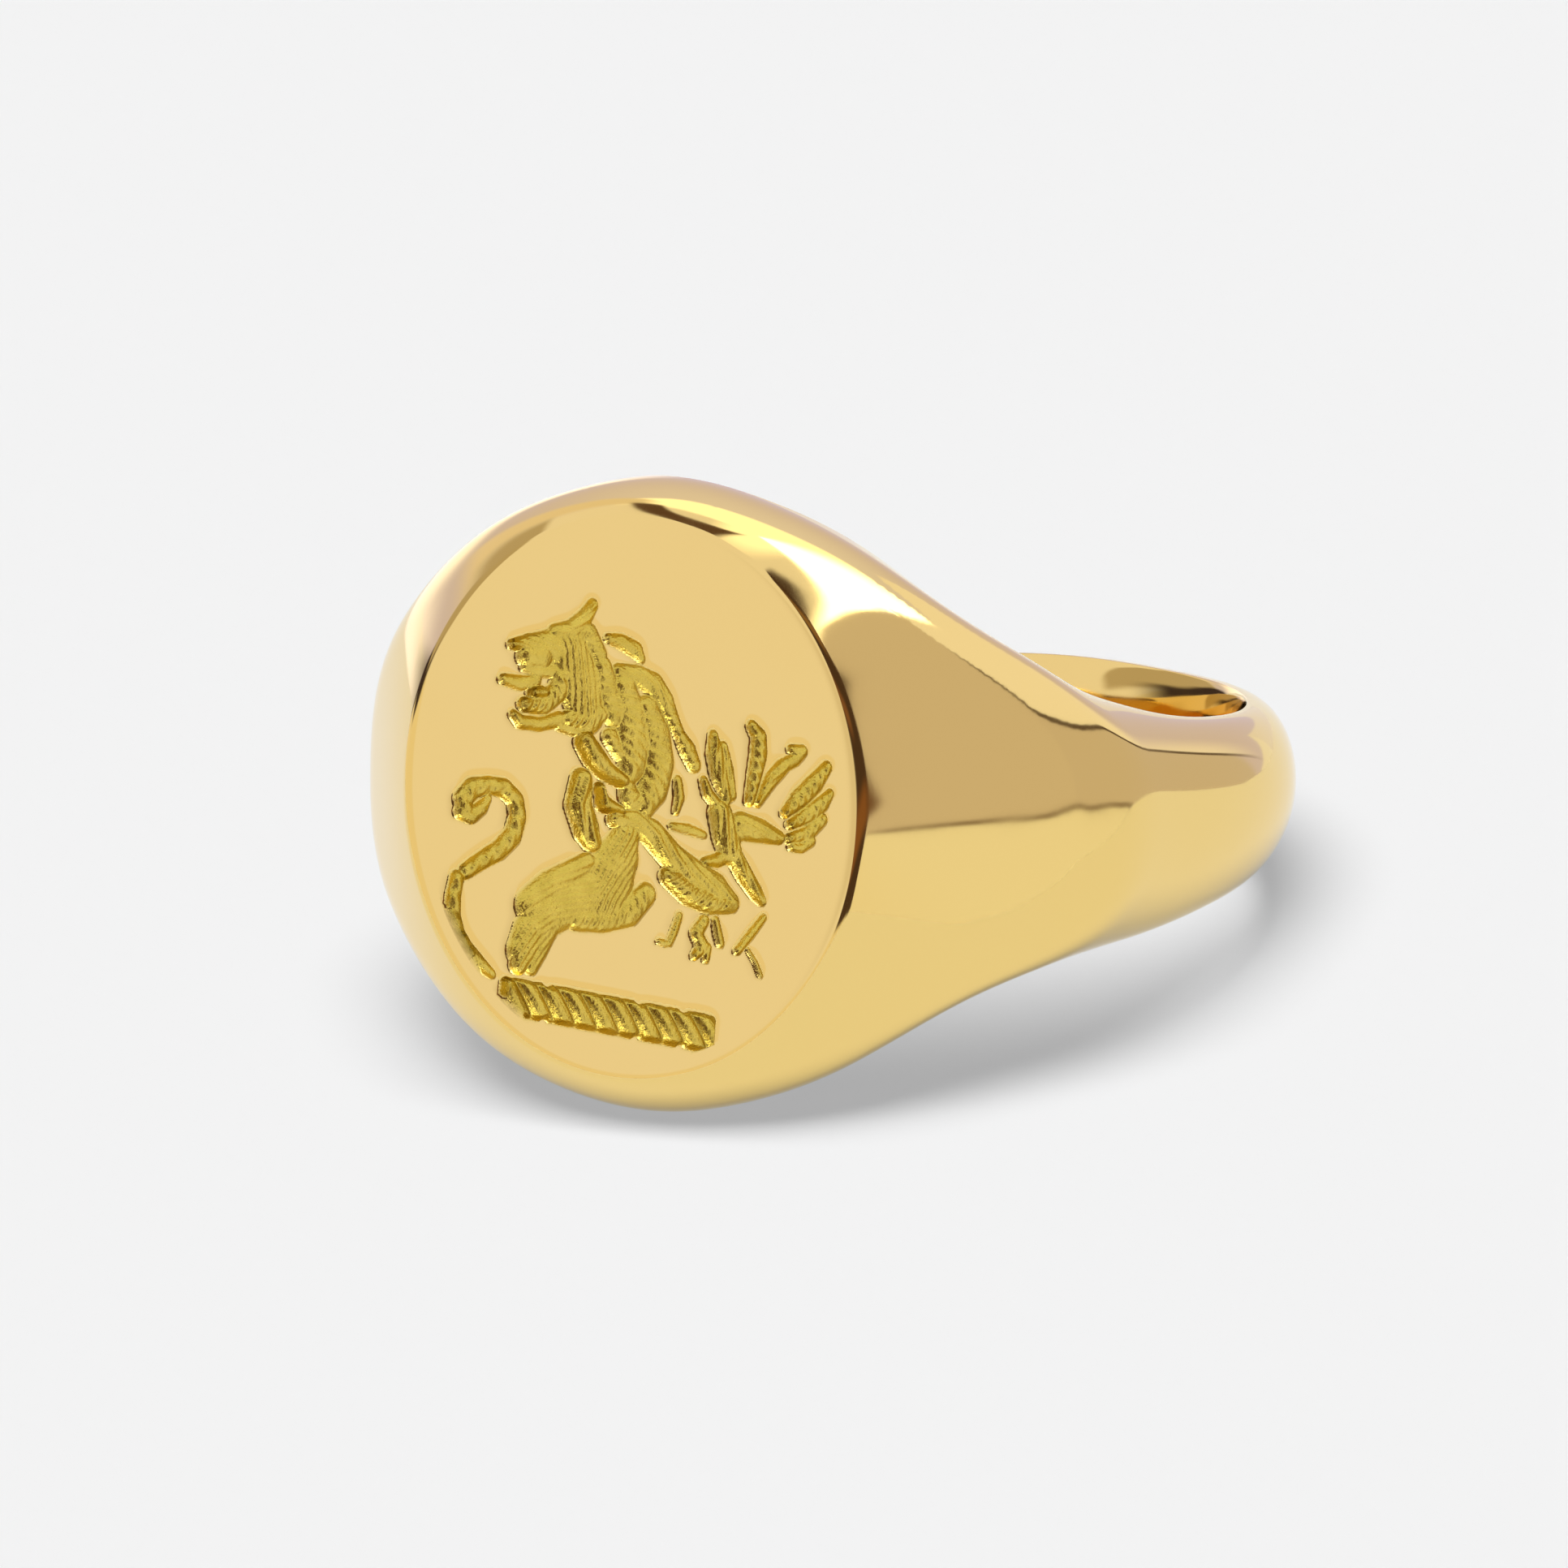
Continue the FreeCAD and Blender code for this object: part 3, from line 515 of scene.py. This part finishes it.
def build_materials():
    # the last pair is the colour of the cuts, darker and more saturated than the polished gold: painted shade and
    # painted reflection in the recesses
    return (gold("polished_gold", (0.905, 0.668, 0.243), (0.895, 0.652, 0.228), (0.045, 0.075), 2.0e-6,
                 ((0.84, 0.64, 0.120), (0.58, 0.42, 0.055))),
            gold("gold_solder", (0.885, 0.675, 0.33), (0.865, 0.65, 0.29), (0.08, 0.15), 3.0e-6))


polished, solder = build_materials()
head_ob, phis = head(polished)
rear = half_hoop(SEAM_B, 2 * math.pi - SEAM_B, 150, 62, phis).object("signet_rear_shank", polished)
seam_r = half_hoop(SEAM_A, SEAM_B, 2, 62, phis).object("signet_seam_right", solder)
seam_l = half_hoop(-SEAM_B, -SEAM_A, 2, 62, phis).object("signet_seam_left", solder)
for ob, nodes, slot in ((head_ob, ("head_and_shoulders",), "polished_gold"), (rear, ("rear_shank",), "polished_gold"),
                        (seam_r, ("solder_seams",), "gold_solder"), (seam_l, ("solder_seams",), "gold_solder")):
    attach(ob, "root")
    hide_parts(*nodes)

# ---------------------------------------------------------------- floor, light, camera
scene = bpy.context.scene
FLOOR_Z = cad_box[0][2]


class Sock:
    """A node output that can be used in ordinary arithmetic."""

    def __init__(self, tree, out):
        self.tree, self.out = tree, out

    def _op(self, op, *others, clamp=False):
        n = self.tree.nodes.new("ShaderNodeMath"); n.operation = op; n.use_clamp = clamp
        for i, o in enumerate((self,) + others):
            if isinstance(o, Sock):
                self.tree.links.new(o.out, n.inputs[i])
            else:
                n.inputs[i].default_value = float(o)
        return Sock(self.tree, n.outputs[0])

    def __add__(self, o): return self._op("ADD", o)
    def __sub__(self, o): return self._op("SUBTRACT", o)
    def __mul__(self, o): return self._op("MULTIPLY", o)
    def __truediv__(self, o): return self._op("DIVIDE", o)
    def __rsub__(self, o): return (self * -1.0) + o
    __radd__ = __add__
    __rmul__ = __mul__

    def rise(self, lo, hi):
        """0 below lo, 1 above hi, smooth between."""
        n = self.tree.nodes.new("ShaderNodeMapRange"); n.interpolation_type = "SMOOTHSTEP"
        self.tree.links.new(self.out, n.inputs[0])
        n.inputs[1].default_value, n.inputs[2].default_value = lo, hi
        if lo > hi:
            n.inputs[1].default_value, n.inputs[2].default_value = hi, lo
            n.inputs[3].default_value, n.inputs[4].default_value = 1.0, 0.0
        return Sock(self.tree, n.outputs[0])

    def curve(self, pts, lo=-90.0, hi=90.0):
        """Smooth curve through (angle, value) points."""
        n = self.tree.nodes.new("ShaderNodeFloatCurve")
        xs = [p[0] for p in pts]; x0, x1 = min(xs), max(xs)
        c = n.mapping.curves[0]
        c.points[0].location = (0.0, (pts[0][1] - lo) / (hi - lo))
        c.points[1].location = (1.0, (pts[-1][1] - lo) / (hi - lo))
        for x, y in pts[1:-1]:
            c.points.new((x - x0) / (x1 - x0), (y - lo) / (hi - lo))
        n.mapping.update()
        t = (self - x0)._op("DIVIDE", x1 - x0, clamp=True)
        self.tree.links.new(t.out, n.inputs["Value"])
        return Sock(self.tree, n.outputs[0]) * (hi - lo) + lo


def over(tree, base, mask, color):
    n = tree.nodes.new("ShaderNodeMix"); n.data_type = "RGBA"; n.clamp_factor = True
    tree.links.new(mask.out, n.inputs[0])
    for k, v in ((6, base), (7, color)):
        if isinstance(v, tuple):
            n.inputs[k].default_value = v + (1.0,)
        else:
            tree.links.new(v, n.inputs[k])
    return n.outputs[2]


def build_world():
    """The studio around the ring, as soft bands of light and shade by direction. Only reflections see it."""
    world = bpy.data.worlds.new("studio"); scene.world = world; world.use_nodes = True
    t = world.node_tree; bg = t.nodes["Background"]
    tc = t.nodes.new("ShaderNodeTexCoord"); sp = t.nodes.new("ShaderNodeSeparateXYZ")
    t.links.new(tc.outputs["Generated"], sp.inputs[0])
    x, y, z = (Sock(t, sp.outputs[i]) for i in range(3))
    az = x._op("ARCTAN2", y * -1.0) * 57.29578            # 0 at -Y, growing towards +X
    el = z._op("ARCSINE") * 57.29578
    back = az._op("ABSOLUTE")

    def box(a0, a1, e0, e1, sa=3.0, se=2.0, azs=az):
        m = azs.rise(a0 - sa, a0 + sa) * azs.rise(a1 + sa, a1 - sa)
        lo = (el - e0).rise(-se, se); hi = (el - e1).rise(se, -se)
        return m * lo * hi

    # pale room, bluish overhead
    c = over(t, (0.69, 0.645, 0.93), el.rise(5, 75), (0.83, 0.83, 1.18))
    # big lamp overhead, hottest on the right
    top = az.curve([(-180, 73), (-160, 71), (-145, 68), (-130, 63), (-118, 57), (-110, 50), (-60, 50), (60, 51), (75, 52), (82, 44), (92, 43),
                    (104, 50), (118, 60), (132, 66), (150, 71), (180, 73)])
    lamp = over(t, (1.55, 1.55, 1.55), az.rise(50, 56) * az.rise(135, 85), (4.6, 4.6, 4.7))
    c = over(t, c, (el - top).rise(-1.5, 1.5), lamp)
    # right: bright corner and band above a tan wall, with the wall's thin dark edge
    edge = az.curve([(78, 22.5), (82, 21), (90, 20), (105, 19), (120, 18), (134, 16), (145, 13), (152, 8.5), (160, 1.5), (168, -6), (176, -15)])
    wide = az.curve([(78, 30), (96, 29), (106, 30), (120, 34), (140, 39), (152, 40), (176, 30)])
    right = az.rise(77, 79) * az.rise(174, 160)
    c = over(t, c, right * (el - edge).rise(-0.5, 0.5) * (el - edge - wide).rise(1.5, -1.5), (0.98, 0.975, 1.12))
    tall = az.rise(52, 55) * az.rise(80.6, 79.6) * (el - 51.5 - (az - 70) * -0.2).rise(1.0, -1.0)
    low = az.rise(77, 79) * az.rise(167, 163) * (el - edge).rise(0.4, -0.4)
    c = over(t, c, tall, (0.67, 0.615, 0.65))
    c = over(t, c, low, (0.65, 0.595, 0.635))
    rim = az.rise(79.0, 79.6) * az.rise(81.2, 80.6) * el.rise(20, 22) * el.rise(42, 30)
    c = over(t, c, rim, (0.14, 0.11, 0.09))
    c = over(t, c, right * az.rise(79.5, 81) * (el - edge).rise(-1.7, -0.9) * (el - edge).rise(1.3, 0.6), (0.10, 0.07, 0.06))
    # white room in front
    front = az.rise(-108, -104) * az.rise(56, 50) * el.rise(84, 76)
    c = over(t, c, az.rise(-116, -112) * az.rise(-104, -107) * el.rise(4, 14) * el.rise(62, 54), (0.86, 0.78, 0.74))
    c = over(t, c, front, (0.92, 0.90, 0.98))
    # left: dark edge with an olive-grey wall above it
    lline = az.curve([(-125, -13), (-117, -8), (-110, -3), (-105, 0), (-95, 2.5), (-85, 5), (-75, 9), (-65, 12), (-50, 14.5)])
    ltop = az.curve([(-125, 33), (-100, 32.5), (-85, 32), (-75, 31.5), (-65, 29), (-55, 24), (-47, 16.5)])
    left = az.rise(-108, -104) * az.rise(-48, -53)
    c = over(t, c, left * (el - lline).rise(0, 2) * (el - ltop).rise(1.5, -1.5), (0.52, 0.455, 0.385))
    # lower room: white sheet under everything, tan where it ends
    sheet = az.curve([(-180, 0), (-160, -2), (-140, -2), (-122, -4), (-112, -4), (-100, 1), (-60, 11), (-30, 6), (-5, 0), (50, 0), (60, 1.3), (68, 1.4), (76, 0.3),
                      (85, -3.0), (95, -6.2), (105, -9.3), (115, -12.4), (125, -15.2), (135, -18), (145, -20), (158, -20), (168, -14), (180, 0)])
    below = (el - sheet).rise(0.35, -0.35)
    paper = over(t, (0.90, 0.83, 0.72), az.rise(25, 62), (0.92, 0.92, 0.93))
    paper = over(t, paper, az.rise(-110, -140), (0.86, 0.845, 0.92))
    c = over(t, c, below, paper)
    c = over(t, c, az.rise(54, 60) * az.rise(167, 160) * (el - sheet).rise(-0.5, -0.1) * (el - sheet).rise(0.8, 0.3), (0.24, 0.19, 0.17))
    ldark = az.rise(-121, -116) * az.rise(-58, -80)
    c = over(t, c, ldark * (el - lline).rise(-4.2, -2.2) * (el - lline).rise(4.0, 1.5), (0.05, 0.035, 0.04))
    # dark gap high on the left, along the lamp's edge
    gap = az.curve([(-110, 57), (-104, 59), (-97, 63), (-90, 69), (-80, 75), (-66, 79.5), (-45, 82)])
    c = over(t, c, az.rise(-109, -106) * az.rise(-45, -62) * (el - gap).rise(-6, -3.5) * (el - gap).rise(6, 3.5), (0.12, 0.07, 0.05))
    # glow on the far left
    c = over(t, c, box(-146, -116, -12, 8, 5, 5), (1.35, 1.33, 1.5))
    # the dark side of the room, front right, with warm glows and a paler tongue
    c = over(t, c, az.rise(-32, -12) * az.rise(14, 4) * el.rise(2, 10) * el.rise(34, 24), (0.78, 0.74, 0.76))
    wbot = az.curve([(-14, 6), (-5, 1), (5, -2), (15, -6), (25, -10), (35, -13), (44, -15.5), (50, -12), (58, -2)])
    wtop = az.curve([(-14, 36), (-5, 45), (5, 57), (15, 66), (25, 73), (35, 71.5), (45, 65.5), (55, 52), (60, 44)])
    jamb = az + el.rise(9, -8) * 14.0 + el.rise(38, 56) * 9.0
    win = az.rise(5, 10) * jamb.rise(60, 58.6) * (el - wbot).rise(-1.2, 1.2) * (el - wtop).rise(1.2, -1.2)
    dim = over(t, (0.075, 0.045, 0.035), box(4, 58, 4, 14, 8, 3), (0.24, 0.105, 0.045))
    dim = over(t, dim, box(0, 40, 27, 34, 8, 3), (0.22, 0.105, 0.06))
    dim = over(t, dim, box(10, 50, 48, 58, 10, 4), (0.26, 0.15, 0.07))
    dim = over(t, dim, az.rise(18, 2) * el.rise(12, 18) * el.rise(27, 21), (0.50, 0.47, 0.48))
    c = over(t, c, win, dim)
    t.links.new(c, bg.inputs["Color"])
    bg.inputs["Strength"].default_value = 1.0
    world.cycles_visibility.diffuse = False
    world.cycles_visibility.scatter = False


def stage_mesh(name, verts, faces, color, rough=0.9):
    me = bpy.data.meshes.new(name); me.from_pydata(verts, [], faces)
    ob = bpy.data.objects.new(name, me); scene.collection.objects.link(ob)
    m = bpy.data.materials.new(name); m.use_nodes = True
    bs = m.node_tree.nodes["Principled BSDF"]
    bs.inputs["Base Color"].default_value = color + (1,)
    bs.inputs["Roughness"].default_value = rough
    bs.inputs["Specular IOR Level"].default_value = 0.0
    me.materials.append(m)
    return ob


def build_stage():
    # paper seen by the camera
    R = 4.0
    paper = stage_mesh("paper", [(-R, -R, FLOOR_Z), (R, -R, FLOOR_Z), (R, R, FLOOR_Z), (-R, R, FLOOR_Z)], [(0, 1, 2, 3)], (0.93, 0.93, 0.93))
    paper.visible_glossy = False
    paper.visible_diffuse = False
    paper.visible_shadow = False
    # the same paper as the ring's reflections see it: it ends close behind and to the right
    el_edge = [(-180, 14), (-150, 9), (-120, 7), (-60, 7), (-12, 8), (0, 10), (15, 14), (30, 19), (45, 22), (60, 16), (72, 12), (85, 14), (100, 18),
               (125, 22), (150, 24), (165, 20), (180, 14)]
    a = np.arange(-180, 180, 2.0)
    e = np.interp(a, [p[0] for p in el_edge], [p[1] for p in el_edge])
    dist = 8.5 / np.tan(np.radians(e))
    vx = (6.0 + dist * np.sin(np.radians(a))) * MM; vy = (-2.0 - dist * np.cos(np.radians(a))) * MM
    z = FLOOR_Z + 0.004 * MM
    n = len(a)
    verts = [(float(p), float(q), z) for p, q in zip(vx, vy)]
    near = stage_mesh("near_paper", verts, [tuple(range(n))], (0.93, 0.93, 0.93))
    for k in ("visible_camera", "visible_diffuse", "visible_shadow"):
        setattr(near, k, False)
    # a pale backdrop all round, for the camera only
    n, verts, faces = 48, [], []
    for k in range(13):
        e = math.radians(-2 + 92 * k / 12)
        verts += [(0.75 * math.cos(e) * math.cos(2 * math.pi * i / n), 0.75 * math.cos(e) * math.sin(2 * math.pi * i / n),
                   0.75 * math.sin(e)) for i in range(n)]
    for k in range(12):
        faces += [(k * n + i, k * n + (i + 1) % n, (k + 1) * n + (i + 1) % n, (k + 1) * n + i) for i in range(n)]
    dome = stage_mesh("backdrop", verts, faces, (0.0, 0.0, 0.0))
    bs = dome.data.materials[0].node_tree.nodes["Principled BSDF"]
    bs.inputs["Emission Color"].default_value = (0.88, 0.88, 0.885, 1)
    bs.inputs["Emission Strength"].default_value = 1.0
    for k in ("visible_glossy", "visible_diffuse", "visible_shadow", "visible_transmission"):
        setattr(dome, k, False)
    return paper, near


def sky_light(name, degrees, irradiance, tilt):
    """A broad soft source far overhead, as wide in the sky as the given angle."""
    L = bpy.data.lights.new(name, "SUN"); L.angle = math.radians(degrees); L.energy = irradiance
    ob = bpy.data.objects.new(name, L); scene.collection.objects.link(ob)
    ob.location = (0, 0, 0.5)
    ob.rotation_euler = (math.radians(tilt[0]), math.radians(tilt[1]), 0)
    ob.visible_glossy = False
    return ob


build_world()
build_stage()
sky_light("softbox", 48.0, 2.45, (14, 5))
sky_light("room_fill", 140.0, 0.66, (0, 0))
for ob in (head_ob, rear, seam_r, seam_l):
    ob.visible_diffuse = False            # keeps the paper's shadows free of gold glow
scene.view_settings.view_transform = "Standard"

# camera at the photograph's angle, worked out in the ring frame and laid down with the ring
CAM = dict(az=31.628, el=5.189, roll=1.511, dist=481.37, g=52.854, tx=1065.8, ty=949.8)


def place_camera():
    az, el, ro = (math.radians(CAM[k]) for k in ("az", "el", "roll"))
    back = np.array([math.sin(az) * math.cos(el), -math.cos(az) * math.cos(el), math.sin(el)])
    right = np.cross(-back, [0, 0, 1.0]); right /= np.linalg.norm(right)
    up = np.cross(right, -back)
    r2 = math.cos(ro) * right + math.sin(ro) * up
    u2 = -math.sin(ro) * right + math.cos(ro) * up
    pos = back * CAM["dist"] - r2 * (CAM["tx"] - 966) / CAM["g"] + u2 * (CAM["ty"] - 966) / CAM["g"]
    B, Rr, Uu, Pp = (lie_down(v) for v in (back, r2, u2, pos))
    Pp = Pp + np.array([0, 0, LIFT])
    cam = bpy.data.cameras.new("camera"); ob = bpy.data.objects.new("camera", cam)
    scene.collection.objects.link(ob)
    M = Matrix(((Rr[0], Uu[0], B[0], Pp[0] * MM), (Rr[1], Uu[1], B[1], Pp[1] * MM), (Rr[2], Uu[2], B[2], Pp[2] * MM), (0, 0, 0, 1)))
    ob.matrix_world = M
    cam.sensor_width = 36.0; cam.sensor_fit = "HORIZONTAL"
    cam.lens = CAM["g"] * CAM["dist"] / 1932 * 36.0
    cam.clip_start = 0.01; cam.clip_end = 20
    scene.camera = ob
    return ob


place_camera()
bpy.context.view_layer.update()
